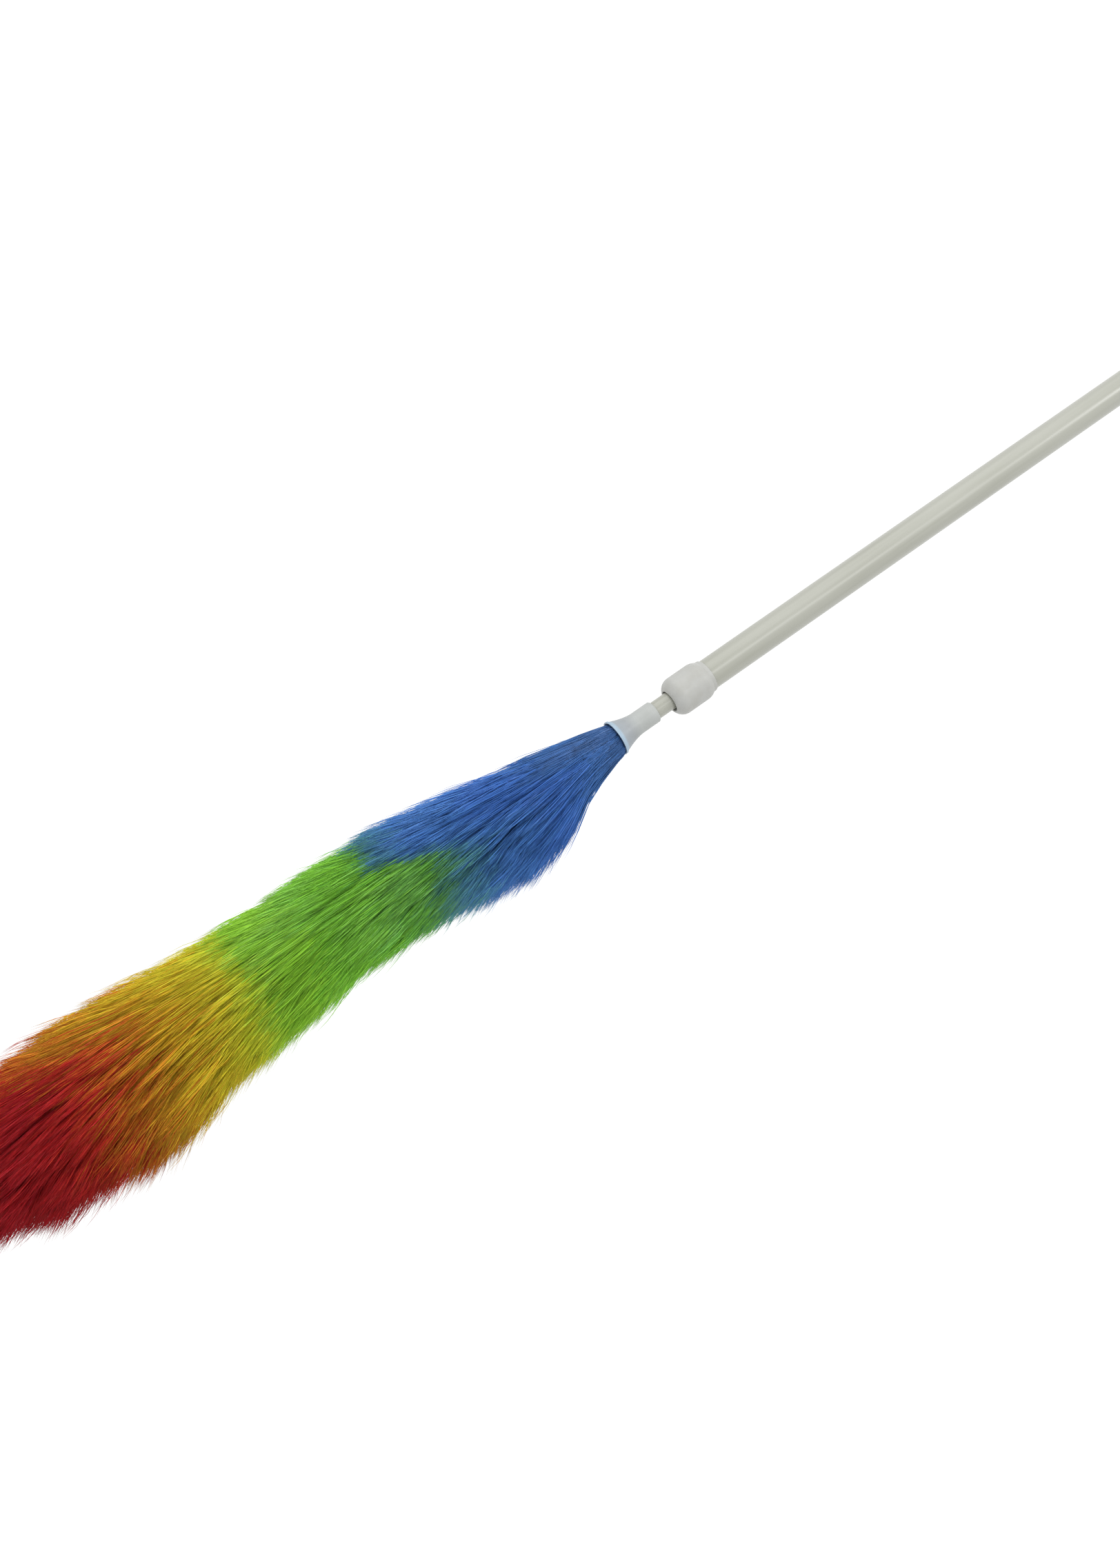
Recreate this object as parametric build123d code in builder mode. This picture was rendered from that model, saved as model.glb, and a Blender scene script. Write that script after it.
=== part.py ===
from build123d import *
import math
import os

os.makedirs("parts", exist_ok=True)

# Telescopic duster, in millimetres. The pole's axis is vertical. The centre of the hanging hole is
# the origin, the hand grip is just below it and the duster head hangs at the bottom.

# ---------------------------------------------------------------- driving dimensions

# Hanging eye and end cap
eye_radius = 11.0
eye_thickness = 8.0
hang_hole_radius = 4.0
cap_flange_radius = 13.5
cap_flange_top = -13.0
cap_shank_length = 30.0

# Outer tube
outer_radius = 11.0
outer_wall = 0.5
outer_top = -18.0

# Hand grip
grip_radius = 13.5
grip_length = 120.0
grip_groove_depth = 0.8
grip_groove_width = 2.4
grip_groove_pitch = 7.0
grip_grooves = 6

# Guide collar: its distances are counted downwards from this height
collar_level = -735.0
collar_radius = 14.0
collar_rear_radius = 11.9
collar_rear_end = -15.2
collar_nose_end = 17.6
collar_hole_radius = 7.65
outer_tube_end = 5.0

# Inner tube
inner_radius = 6.35
inner_wall = 0.5
inner_top = -77.0
inner_end = 56.0

# Twist lock: turning the inner pole on its eccentric stub pushes it sideways in the outer tube
eccentricity = 0.3
lock_shift = 0.45
flange_height = 5.8
stub_radius = 5.5
ring_height = 14.8
ring_slot = 2.0
disc_radius = 8.5
disc_height = 3.0
screw_radius = 1.6
screw_head_radius = 3.2
spindle_shank_length = 30.0

# Ferrule, wire and wire fittings
sleeve_radius = 7.8
sleeve_start = 30.6
sleeve_end = 45.0
rim_radius = 12.8
rim_end = 63.8
plug_start = 26.0
plug_end = 55.5
strand_radius = 1.1
strand_offset = 1.05
wire_start = 38.0
wire_end = 588.0
wire_turns = 15
tip_cap_radius = 4.0
tip_cap_start = 584.0
tip_cap_end = 598.0

# Duster head: outline radius of the combed fibres, and the colour changes, which are V-shaped.
# Each colour change has its distance below the collar at the left, in the middle and at the right.
wire_bore_radius = 2.5
fibre_start = 60.8
fibre_end = 622.0
fibre_start_radius = 9.2
mouth_radius = 11.6
blue_to_green = (300.0, 187.0, 256.0)
green_to_yellow = (365.0, 347.0, 390.0)
yellow_to_red = (496.0, 450.0, 508.0)
band_reach = 75.0

# General clearances
fit_gap = 0.05
soft_gap = 0.15

# ---------------------------------------------------------------- derived values

outer_bore = outer_radius - outer_wall
inner_bore = inner_radius - inner_wall
flange_radius = outer_bore - lock_shift - fit_gap
ring_radius = outer_bore - fit_gap
lock_half_turn = math.degrees(math.asin(lock_shift / (2 * eccentricity)))
stub_angle = math.radians(-90 - lock_half_turn)
stub_x = eccentricity * math.cos(stub_angle)
stub_y = eccentricity * math.sin(stub_angle)
ring_bottom = inner_top + flange_height + 0.2
disc_bottom = ring_bottom + ring_height + 0.2


def level(distance):
    """Height of a point this far below the collar's reference level."""
    return collar_level - distance


# The inner pole stands a little off the outer tube's axis, because the lock is tight.
outer_side = Plane.XZ
inner_side = Plane(origin=(-lock_shift, 0, 0), x_dir=(1, 0, 0), z_dir=(0, -1, 0))
inner_axis = Axis((-lock_shift, 0, 0), (0, 0, 1))


def inner_top_plane(height):
    """Horizontal plane on the inner pole's axis."""
    return Plane(origin=(-lock_shift, 0, height), x_dir=(1, 0, 0), z_dir=(0, 0, 1))


def stub_plane(height):
    """Horizontal plane on the eccentric stub's axis."""
    return Plane(origin=(stub_x, stub_y, height), x_dir=(1, 0, 0), z_dir=(0, 0, 1))


def cross_plane(x, height):
    """Upright plane facing +X, for pins and holes that cross the pole."""
    return Plane(origin=(x, 0, height), x_dir=(0, 1, 0), z_dir=(1, 0, 0))


# ---------------------------------------------------------------- outer pole

# Outer tube, with a cross hole for the cap's pin
cap_pin_radius = 1.5
cap_pin_level = outer_top - 15.0

with BuildPart() as outer_tube:
    with BuildSketch(Plane.XY.offset(level(outer_tube_end))):
        Circle(outer_radius)
        Circle(outer_bore, mode=Mode.SUBTRACT)
    extrude(amount=outer_top - level(outer_tube_end))
    with BuildSketch(cross_plane(0, cap_pin_level)):
        Circle(cap_pin_radius + fit_gap)
    extrude(amount=2 * outer_radius, both=True, mode=Mode.SUBTRACT)
outer_tube.part.label = "outer_tube"
export_step(outer_tube.part, "parts/outer_tube.step")

# Guide collar: smooth barrel with a stepped rear end, a domed nose and a shoulder that the tube
# butts against
with BuildPart() as guide_collar:
    with BuildSketch(outer_side):
        with BuildLine():
            rear_inside = (outer_radius + fit_gap, level(collar_rear_end))
            rear_corner = (collar_rear_radius - 0.4, level(collar_rear_end))
            rear_edge = (collar_rear_radius, level(collar_rear_end + 0.5))
            step_foot = (collar_rear_radius + 0.2, level(-12.4))
            barrel_top = (collar_radius, level(-6.8))
            barrel_bottom = (collar_radius, level(9.5))
            nose_lip = (collar_hole_radius + 0.5, level(collar_nose_end))
            hole_edge = (collar_hole_radius, level(collar_nose_end - 0.5))
            Polyline(rear_inside, rear_corner, rear_edge, step_foot)
            ThreePointArc(step_foot, (13.4, level(-9.9)), barrel_top)
            Line(barrel_top, barrel_bottom)
            ThreePointArc(barrel_bottom, (12.4, level(14.6)), nose_lip)
            Line(nose_lip, hole_edge)
            Polyline(
                hole_edge,
                (collar_hole_radius, level(outer_tube_end)),
                (outer_radius + fit_gap, level(outer_tube_end)),
                rear_inside,
            )
        make_face()
    revolve(axis=Axis.Z)
guide_collar.part.label = "guide_collar"
export_step(guide_collar.part, "parts/guide_collar.step")

# Hand grip: sleeve with two groups of shallow ring grooves
grip_bottom = outer_top - grip_length

with BuildPart() as hand_grip:
    with BuildSketch(Plane.XY.offset(grip_bottom)):
        Circle(grip_radius)
        Circle(outer_radius + fit_gap, mode=Mode.SUBTRACT)
    extrude(amount=grip_length)
    fillet(hand_grip.edges().group_by(Axis.Z)[0].sort_by(SortBy.RADIUS)[-1], 1.6)
    with BuildSketch(outer_side):
        for i in range(grip_grooves):
            for middle in (
                grip_bottom + 12 + i * grip_groove_pitch,
                outer_top - 12 - i * grip_groove_pitch,
            ):
                with Locations((grip_radius, middle)):
                    Rectangle(2 * grip_groove_depth, grip_groove_width)
    revolve(axis=Axis.Z, mode=Mode.SUBTRACT)
hand_grip.part.label = "hand_grip"
export_step(hand_grip.part, "parts/hand_grip.step")

# End cap: flat eye with the hanging hole, a flange on the grip's end and a shank in the tube
with BuildPart() as end_cap:
    with BuildSketch(Plane.XY.offset(outer_top - cap_shank_length)):
        Circle(outer_bore - fit_gap)
    extrude(amount=cap_shank_length)
    with BuildSketch(Plane.XY.offset(outer_top)):
        Circle(cap_flange_radius)
    extrude(amount=cap_flange_top - outer_top)
    fillet(end_cap.edges().filter_by(GeomType.CIRCLE).group_by(Axis.Z)[-1], 2.0)
    with BuildSketch(outer_side):
        Circle(eye_radius)
        with Locations((0, cap_flange_top / 2 - 0.5)):
            Rectangle(2 * eye_radius, -cap_flange_top + 1)
    extrude(amount=eye_thickness / 2, both=True)
    with BuildSketch(outer_side):
        Circle(hang_hole_radius)
    extrude(amount=eye_thickness, both=True, mode=Mode.SUBTRACT)
    with BuildSketch(cross_plane(0, cap_pin_level)):
        Circle(cap_pin_radius + fit_gap)
    extrude(amount=2 * outer_radius, both=True, mode=Mode.SUBTRACT)
end_cap.part.label = "end_cap"
export_step(end_cap.part, "parts/end_cap.step")

# Cross pin of the end cap, hidden by the grip
with BuildPart() as cap_pin:
    with BuildSketch(cross_plane(0, cap_pin_level)):
        Circle(cap_pin_radius)
    extrude(amount=outer_radius - 0.1, both=True)
cap_pin.part.label = "cap_pin"
export_step(cap_pin.part, "parts/cap_pin.step")

# ---------------------------------------------------------------- twist lock

# Split ring: outside it is centred on the outer tube, its hole on the eccentric stub
with BuildPart() as cam_ring:
    with BuildSketch(Plane.XY.offset(ring_bottom)):
        Circle(ring_radius)
        with Locations((stub_x, stub_y)):
            Circle(stub_radius + fit_gap, mode=Mode.SUBTRACT)
            with Locations((ring_radius, 0)):
                Rectangle(2 * ring_radius, ring_slot, mode=Mode.SUBTRACT)
    extrude(amount=ring_height)
cam_ring.part.label = "cam_ring"
export_step(cam_ring.part, "parts/cam_ring.step")

# Spindle: shank in the inner tube, flange on the tube's end and the eccentric stub on top
spindle_pin_radius = 1.25
spindle_pin_level = inner_top - 15.0

with BuildPart() as lock_spindle:
    with BuildSketch(inner_top_plane(inner_top - spindle_shank_length)):
        Circle(inner_bore - fit_gap)
    extrude(amount=spindle_shank_length)
    with BuildSketch(inner_top_plane(inner_top)):
        Circle(flange_radius)
    extrude(amount=flange_height)
    with BuildSketch(stub_plane(inner_top + flange_height)):
        Circle(stub_radius)
    extrude(amount=disc_bottom - inner_top - flange_height)
    with BuildSketch(stub_plane(disc_bottom)):
        Circle(screw_radius + fit_gap)
    extrude(amount=-14.0, mode=Mode.SUBTRACT)
    with BuildSketch(cross_plane(-lock_shift, spindle_pin_level)):
        Circle(spindle_pin_radius + fit_gap)
    extrude(amount=2 * inner_radius, both=True, mode=Mode.SUBTRACT)
lock_spindle.part.label = "lock_spindle"
export_step(lock_spindle.part, "parts/lock_spindle.step")

# Disc above the ring, with a recess for the screw's head
with BuildPart() as retaining_disc:
    with BuildSketch(inner_top_plane(disc_bottom)):
        Circle(disc_radius)
    extrude(amount=disc_height)
    with BuildSketch(stub_plane(disc_bottom)):
        Circle(screw_radius + fit_gap)
    extrude(amount=disc_height, mode=Mode.SUBTRACT)
    with BuildSketch(stub_plane(disc_bottom + disc_height)):
        Circle(screw_head_radius + 0.1)
    extrude(amount=-1.6, mode=Mode.SUBTRACT)
retaining_disc.part.label = "retaining_disc"
export_step(retaining_disc.part, "parts/retaining_disc.step")

# Screw in the stub, with a cross recess in its head
with BuildPart() as retaining_screw:
    with BuildSketch(stub_plane(disc_bottom - 12.0)):
        Circle(screw_radius)
    extrude(amount=12.0 + disc_height - 1.6)
    with BuildSketch(stub_plane(disc_bottom + disc_height - 1.6)):
        Circle(screw_head_radius)
    extrude(amount=2.4)
    with BuildSketch(stub_plane(disc_bottom + disc_height + 0.8)):
        Rectangle(3.6, 0.8)
        Rectangle(0.8, 3.6)
    extrude(amount=-1.2, mode=Mode.SUBTRACT)
retaining_screw.part.label = "retaining_screw"
export_step(retaining_screw.part, "parts/retaining_screw.step")

# ---------------------------------------------------------------- inner pole

# Inner tube, with cross holes for the spindle's pin and the wire plug's pin
plug_pin_radius = 1.2
plug_pin_level = level(34.2)

with BuildPart() as inner_tube:
    with BuildSketch(inner_top_plane(level(inner_end))):
        Circle(inner_radius)
        Circle(inner_bore, mode=Mode.SUBTRACT)
    extrude(amount=inner_top - level(inner_end))
    with BuildSketch(cross_plane(-lock_shift, spindle_pin_level)):
        Circle(spindle_pin_radius + fit_gap)
    extrude(amount=2 * inner_radius, both=True, mode=Mode.SUBTRACT)
    with BuildSketch(cross_plane(-lock_shift, plug_pin_level)):
        Circle(plug_pin_radius + fit_gap)
    extrude(amount=2 * inner_radius, both=True, mode=Mode.SUBTRACT)
inner_tube.part.label = "inner_tube"
export_step(inner_tube.part, "parts/inner_tube.step")

# Cross pin of the spindle
with BuildPart() as spindle_pin:
    with BuildSketch(cross_plane(-lock_shift, spindle_pin_level)):
        Circle(spindle_pin_radius)
    extrude(amount=inner_radius - 0.1, both=True)
spindle_pin.part.label = "spindle_pin"
export_step(spindle_pin.part, "parts/spindle_pin.step")

# Ferrule: sleeve on the inner tube that flares to a thin rim around the fibres
with BuildPart() as ferrule:
    with BuildSketch(inner_side):
        with BuildLine():
            sleeve_inside = (inner_radius + fit_gap, level(sleeve_start))
            sleeve_corner = (sleeve_radius - 0.5, level(sleeve_start))
            sleeve_edge = (sleeve_radius, level(sleeve_start + 0.6))
            flare_start = (sleeve_radius, level(sleeve_end))
            rim_foot = (rim_radius - 0.7, level(rim_end - 1.9))
            rim_back = (rim_radius, level(rim_end - 1.4))
            rim_front = (rim_radius, level(rim_end))
            mouth_edge = (rim_radius - 0.9, level(rim_end))
            Polyline(sleeve_inside, sleeve_corner, sleeve_edge, flare_start)
            Spline(
                flare_start,
                (8.7, level(51.5)),
                (10.2, level(56.8)),
                rim_foot,
            )
            Polyline(rim_foot, rim_back, rim_front, mouth_edge)
            Polyline(
                mouth_edge,
                (inner_radius + fit_gap, level(inner_end + 0.4)),
                sleeve_inside,
            )
        make_face()
    revolve(axis=inner_axis)
ferrule.part.label = "ferrule"
export_step(ferrule.part, "parts/ferrule.step")

# Plug in the tube's lower end, bored for the twisted wire
with BuildPart() as wire_plug:
    with BuildSketch(inner_top_plane(level(plug_end))):
        Circle(inner_bore - fit_gap)
    extrude(amount=plug_end - plug_start)
    with BuildSketch(inner_top_plane(level(plug_end))):
        Circle(strand_offset + strand_radius + 0.2)
    extrude(amount=plug_end - wire_start + 0.2, mode=Mode.SUBTRACT)
    with BuildSketch(cross_plane(-lock_shift, plug_pin_level)):
        Circle(plug_pin_radius + fit_gap)
    extrude(amount=2 * inner_radius, both=True, mode=Mode.SUBTRACT)
wire_plug.part.label = "wire_plug"
export_step(wire_plug.part, "parts/wire_plug.step")

# Cross pin of the wire plug, covered by the ferrule's sleeve
with BuildPart() as plug_pin:
    with BuildSketch(cross_plane(-lock_shift, plug_pin_level)):
        Circle(plug_pin_radius)
    extrude(amount=inner_radius - 0.1, both=True)
plug_pin.part.label = "plug_pin"
export_step(plug_pin.part, "parts/plug_pin.step")

# Core wire: two strands twisted together
with BuildSketch(inner_top_plane(level(wire_end))) as wire_section:
    with Locations((-strand_offset, 0), (strand_offset, 0)):
        Circle(strand_radius)

with BuildPart() as core_wire:
    add(
        Solid.extrude_linear_with_rotation(
            wire_section.sketch.face(),
            center=(-lock_shift, 0, level(wire_end)),
            normal=(0, 0, wire_end - wire_start),
            angle=360 * wire_turns,
        )
    )
core_wire.part.label = "core_wire"
export_step(core_wire.part, "parts/core_wire.step")

# Cap over the wire's lower end, deep inside the fibres
with BuildPart() as tip_cap:
    with BuildSketch(inner_top_plane(level(tip_cap_end))):
        Circle(tip_cap_radius)
    extrude(amount=tip_cap_end - tip_cap_start)
    fillet(tip_cap.edges().group_by(Axis.Z)[0], 2.5)
    with BuildSketch(inner_top_plane(level(wire_end + 0.2))):
        Circle(strand_offset + strand_radius + 0.1)
    extrude(amount=wire_end + 0.2 - tip_cap_start, mode=Mode.SUBTRACT)
tip_cap.part.label = "tip_cap"
export_step(tip_cap.part, "parts/tip_cap.step")

# ---------------------------------------------------------------- duster head

# Half section of the whole fibre mass, hollow where the wire and its cap run
with BuildSketch(inner_side) as head_section:
    with BuildLine():
        throat = (fibre_start_radius, level(fibre_start))
        mouth = (mouth_radius, level(rim_end))
        Line(throat, mouth)
        Spline(
            mouth,
            (15.0, level(68.5)),
            (22.5, level(97)),
            (32.5, level(125)),
            (40.0, level(163)),
            (41.0, level(230)),
            (43.0, level(310)),
            (48.0, level(370)),
            (56.0, level(444)),
            (57.5, level(480)),
            (50.0, level(538)),
            (33.0, level(595)),
            (0.0, level(fibre_end)),
        )
        Polyline(
            (0.0, level(fibre_end)),
            (0.0, level(tip_cap_end + 0.3)),
            (tip_cap_radius + 0.3, level(tip_cap_end + 0.3)),
            (tip_cap_radius + 0.3, level(tip_cap_start - 0.3)),
            (wire_bore_radius, level(tip_cap_start - 0.3)),
            (wire_bore_radius, level(fibre_start)),
            throat,
        )
    make_face()


def v_edge(change, shift):
    """Corners of a V-shaped colour change, from left to right."""
    left, middle, right = change
    return [
        (-band_reach, level(left + shift)),
        (0, level(middle + shift)),
        (band_reach, level(right + shift)),
    ]


# Blue fibres, from the ferrule's mouth
with BuildPart() as blue_fibres:
    revolve(head_section.sketch, axis=inner_axis)
    with BuildSketch(inner_side):
        Polygon(
            (-band_reach, level(0)),
            *v_edge(blue_to_green, -soft_gap),
            (band_reach, level(0)),
            align=None,
        )
    extrude(amount=band_reach, both=True, mode=Mode.INTERSECT)
blue_fibres.part.label = "blue_fibres"
export_step(blue_fibres.part, "parts/blue_fibres.step")

# Green fibres
with BuildPart() as green_fibres:
    revolve(head_section.sketch, axis=inner_axis)
    with BuildSketch(inner_side):
        Polygon(
            *v_edge(blue_to_green, soft_gap),
            *reversed(v_edge(green_to_yellow, -soft_gap)),
            align=None,
        )
    extrude(amount=band_reach, both=True, mode=Mode.INTERSECT)
green_fibres.part.label = "green_fibres"
export_step(green_fibres.part, "parts/green_fibres.step")

# Yellow fibres
with BuildPart() as yellow_fibres:
    revolve(head_section.sketch, axis=inner_axis)
    with BuildSketch(inner_side):
        Polygon(
            *v_edge(green_to_yellow, soft_gap),
            *reversed(v_edge(yellow_to_red, -soft_gap)),
            align=None,
        )
    extrude(amount=band_reach, both=True, mode=Mode.INTERSECT)
yellow_fibres.part.label = "yellow_fibres"
export_step(yellow_fibres.part, "parts/yellow_fibres.step")

# Red fibres, closed over the wire's end
with BuildPart() as red_fibres:
    revolve(head_section.sketch, axis=inner_axis)
    with BuildSketch(inner_side):
        Polygon(
            *v_edge(yellow_to_red, soft_gap),
            (band_reach, level(fibre_end + 20)),
            (-band_reach, level(fibre_end + 20)),
            align=None,
        )
    extrude(amount=band_reach, both=True, mode=Mode.INTERSECT)
red_fibres.part.label = "red_fibres"
export_step(red_fibres.part, "parts/red_fibres.step")
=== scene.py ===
"""Looks of a telescopic duster: combed fibre head, painted pole and moulded plastic fittings."""

import math
from types import SimpleNamespace

import bpy
import numpy as np
from mathutils import Matrix, Vector


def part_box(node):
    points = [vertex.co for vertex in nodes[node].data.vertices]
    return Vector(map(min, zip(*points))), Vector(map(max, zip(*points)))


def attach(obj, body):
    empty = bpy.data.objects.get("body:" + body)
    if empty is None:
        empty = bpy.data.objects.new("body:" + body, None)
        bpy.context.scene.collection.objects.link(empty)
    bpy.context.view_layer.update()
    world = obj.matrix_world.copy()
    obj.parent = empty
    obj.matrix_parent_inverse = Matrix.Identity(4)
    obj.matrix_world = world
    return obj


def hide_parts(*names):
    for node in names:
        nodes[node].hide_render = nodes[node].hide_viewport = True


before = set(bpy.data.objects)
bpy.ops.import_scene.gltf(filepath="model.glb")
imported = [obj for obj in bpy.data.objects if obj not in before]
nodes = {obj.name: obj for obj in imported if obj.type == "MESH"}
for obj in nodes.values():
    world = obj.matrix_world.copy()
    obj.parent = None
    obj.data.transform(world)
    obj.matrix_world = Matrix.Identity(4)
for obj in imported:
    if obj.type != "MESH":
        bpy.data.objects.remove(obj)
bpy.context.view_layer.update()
scene = bpy.context.scene
MM = 0.001

# Heights on the pole are counted in millimetres below the collar's reference level.
COLLAR_REAR_ABOVE_LEVEL = 15.2
COLLAR_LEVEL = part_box("guide_collar")[1].z / MM - COLLAR_REAR_ABOVE_LEVEL
INNER_X = (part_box("inner_tube")[0].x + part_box("inner_tube")[1].x) / 2 / MM

# ---------------------------------------------------------------- camera

TILT = math.radians(13.0)  # the head's end is nearer to the camera than the pole's
ROLL = math.radians(34.9)  # the pole rises to the right by this much
DISTANCE = 916.6 * MM
AXIS_OFFSET = 3.35 * MM  # the pole passes this far above and left of the view's centre
AIM_BELOW = 113.1
FOCAL_PIXELS = 2000.0
LONG_SIDE_PIXELS = 2274.0
SENSOR = 36.0


def make_camera():
    data = bpy.data.cameras.new("camera")
    data.sensor_width = SENSOR
    data.lens = FOCAL_PIXELS / LONG_SIDE_PIXELS * SENSOR
    data.clip_start = 0.01
    data.clip_end = 60.0
    camera = bpy.data.objects.new("camera", data)
    scene.collection.objects.link(camera)
    along = Vector((math.cos(ROLL) * math.cos(TILT), math.sin(ROLL) * math.cos(TILT), -math.sin(TILT)))
    to_camera = (Vector((0, 0, 1)) + along * math.sin(TILT)).normalized()
    side = (-to_camera).cross(along)
    to_model = Matrix((side, -to_camera, along))
    aim_seen = Vector((-math.sin(ROLL) * AXIS_OFFSET, math.cos(ROLL) * AXIS_OFFSET, -DISTANCE))
    aim = Vector((0, 0, (COLLAR_LEVEL - AIM_BELOW) * MM))
    place = aim - to_model @ aim_seen
    camera.matrix_world = Matrix.Translation(place) @ to_model.to_4x4()
    scene.camera = camera


# ---------------------------------------------------------------- colours and materials


def linear(red, green, blue, gain=1.0):
    """Linear colour of an sRGB colour given from 0 to 255."""
    out = []
    for value in (red, green, blue):
        v = value / 255
        v = v / 12.92 if v <= 0.04045 else ((v + 0.055) / 1.055) ** 2.4
        out.append(min(v * gain, 1.0))
    return (*out, 1.0)


def new_material(name):
    material = bpy.data.materials.new(name)
    material.use_nodes = True
    tree = material.node_tree
    return material, tree, tree.nodes["Principled BSDF"]


def add_node(tree, kind, **values):
    node = tree.nodes.new(kind)
    for key, value in values.items():
        if key in node.inputs:
            node.inputs[key].default_value = value
        else:
            setattr(node, key, value)
    return node


def object_space(tree, stretch=(1.0, 1.0, 1.0)):
    """Object coordinates in metres. A texture is drawn out along an axis by a stretch under 1."""
    place = add_node(tree, "ShaderNodeTexCoord")
    mapping = add_node(tree, "ShaderNodeMapping")
    mapping.inputs["Scale"].default_value = stretch
    tree.links.new(place.outputs["Object"], mapping.inputs["Vector"])
    return mapping.outputs["Vector"]


def noise(tree, vector, scale, detail=3.0, roughness=0.55):
    texture = add_node(tree, "ShaderNodeTexNoise", Scale=scale, Detail=detail, Roughness=roughness)
    tree.links.new(vector, texture.inputs["Vector"])
    return texture.outputs["Fac"]


def ramp(tree, factor, stops):
    """Colour ramp through (position, colour) stops."""
    node = add_node(tree, "ShaderNodeValToRGB")
    node.color_ramp.elements[0].position, node.color_ramp.elements[0].color = stops[0]
    node.color_ramp.elements[1].position, node.color_ramp.elements[1].color = stops[-1]
    for position, colour in stops[1:-1]:
        node.color_ramp.elements.new(position).color = colour
    tree.links.new(factor, node.inputs["Fac"])
    return node.outputs["Color"]


def span(tree, factor, low, high, start=0.3, end=0.7):
    """A factor from start to end mapped to low to high."""
    node = add_node(tree, "ShaderNodeMapRange")
    node.inputs["From Min"].default_value = start
    node.inputs["From Max"].default_value = end
    node.inputs["To Min"].default_value = low
    node.inputs["To Max"].default_value = high
    tree.links.new(factor, node.inputs["Value"])
    return node.outputs["Result"]


def bump(tree, height, shader, distance, strength=1.0):
    node = add_node(tree, "ShaderNodeBump", Strength=strength, Distance=distance)
    tree.links.new(height, node.inputs["Height"])
    tree.links.new(node.outputs["Normal"], shader.inputs["Normal"])


def moulded_plastic(name, light, dark, rough, grain=900.0):
    """Moulded plastic: cloudy colour, uneven gloss and a fine grain."""
    material, tree, shader = new_material(name)
    cloud = noise(tree, object_space(tree), scale=90.0, detail=4.0)
    colour = ramp(tree, cloud, [(0.3, dark), (0.7, light)])
    tree.links.new(colour, shader.inputs["Base Color"])
    uneven = noise(tree, object_space(tree), scale=260.0, detail=2.0)
    tree.links.new(span(tree, uneven, rough - 0.05, rough + 0.07), shader.inputs["Roughness"])
    fine = noise(tree, object_space(tree), scale=grain, detail=2.0)
    bump(tree, fine, shader, distance=0.08 * MM, strength=0.5)
    shader.inputs["Specular IOR Level"].default_value = 0.45
    return material


def cream_paint(name, light, dark):
    """Glossy paint on a drawn tube: streaks along the tube, soft patches and a slight ripple."""
    material, tree, shader = new_material(name)
    streak = noise(tree, object_space(tree, stretch=(1.0, 1.0, 0.03)), scale=320.0)
    patch = noise(tree, object_space(tree, stretch=(1.0, 1.0, 0.3)), scale=28.0)
    both = add_node(tree, "ShaderNodeMath", operation="ADD")
    tree.links.new(streak, both.inputs[0])
    tree.links.new(patch, both.inputs[1])
    half = add_node(tree, "ShaderNodeMath", operation="MULTIPLY")
    half.inputs[1].default_value = 0.5
    tree.links.new(both.outputs[0], half.inputs[0])
    colour = ramp(tree, half.outputs[0], [(0.32, dark), (0.55, light), (0.7, light)])
    tree.links.new(colour, shader.inputs["Base Color"])
    tree.links.new(span(tree, patch, 0.3, 0.38), shader.inputs["Roughness"])
    ripple = noise(tree, object_space(tree, stretch=(1.0, 1.0, 0.02)), scale=110.0, detail=0.0)
    bump(tree, ripple, shader, distance=0.06 * MM, strength=0.3)
    shader.inputs["Coat Weight"].default_value = 0.6
    shader.inputs["Coat Roughness"].default_value = 0.34
    return material


def drawn_steel(name, light, dark):
    """Drawn steel: grey with fine scratches along it."""
    material, tree, shader = new_material(name)
    scratch = noise(tree, object_space(tree, stretch=(1.0, 1.0, 0.05)), scale=900.0)
    colour = ramp(tree, scratch, [(0.3, dark), (0.7, light)])
    tree.links.new(colour, shader.inputs["Base Color"])
    tree.links.new(span(tree, scratch, 0.25, 0.42), shader.inputs["Roughness"])
    shader.inputs["Metallic"].default_value = 1.0
    return material


# ---------------------------------------------------------------- shape of the fibre head

# Half width of the combed head, in millimetres: distance below the collar, then towards -X and +X
OUTLINE = (
    (55, 7.5, 7.5),
    (60, 9.6, 9.6),
    (64, 11.6, 11.8),
    (73, 13.0, 13.3),
    (83, 14.2, 14.4),
    (97, 16.6, 16.8),
    (111, 19.3, 23.4),
    (125, 21.8, 31.6),
    (140, 23.6, 38.4),
    (158, 26.0, 44.2),
    (176, 31.0, 45.6),
    (195, 35.2, 41.6),
    (215, 37.8, 39.2),
    (232, 41.4, 34.4),
    (248, 44.4, 32.2),
    (257, 40.6, 31.4),
    (285, 41.2, 31.8),
    (310, 41.4, 31.4),
    (335, 40.4, 35.8),
    (360, 41.6, 39.6),
    (408, 44.8, 43.6),
    (430, 46.2, 51.6),
    (450, 48.6, 56.0),
    (470, 52.0, 57.0),
    (488, 51.0, 53.6),
    (505, 49.4, 50.6),
    (525, 47.5, 47.5),
    (545, 44.0, 42.0),
    (565, 38.5, 37.0),
    (585, 30.0, 29.5),
    (603, 20.0, 19.5),
    (616, 10.0, 10.0),
    (624, 3.0, 3.0),
)
OUTLINE_PLACES, MINUS_X_HALF, PLUS_X_HALF = np.array(OUTLINE, float).T
EVERY_MM = np.arange(OUTLINE_PLACES[0], OUTLINE_PLACES[-1], 1.0)
ROUNDED_OVER = 9  # millimetres over which a corner of the outline is rounded
HEAD_START = 57.0  # just inside the ferrule's mouth


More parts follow.
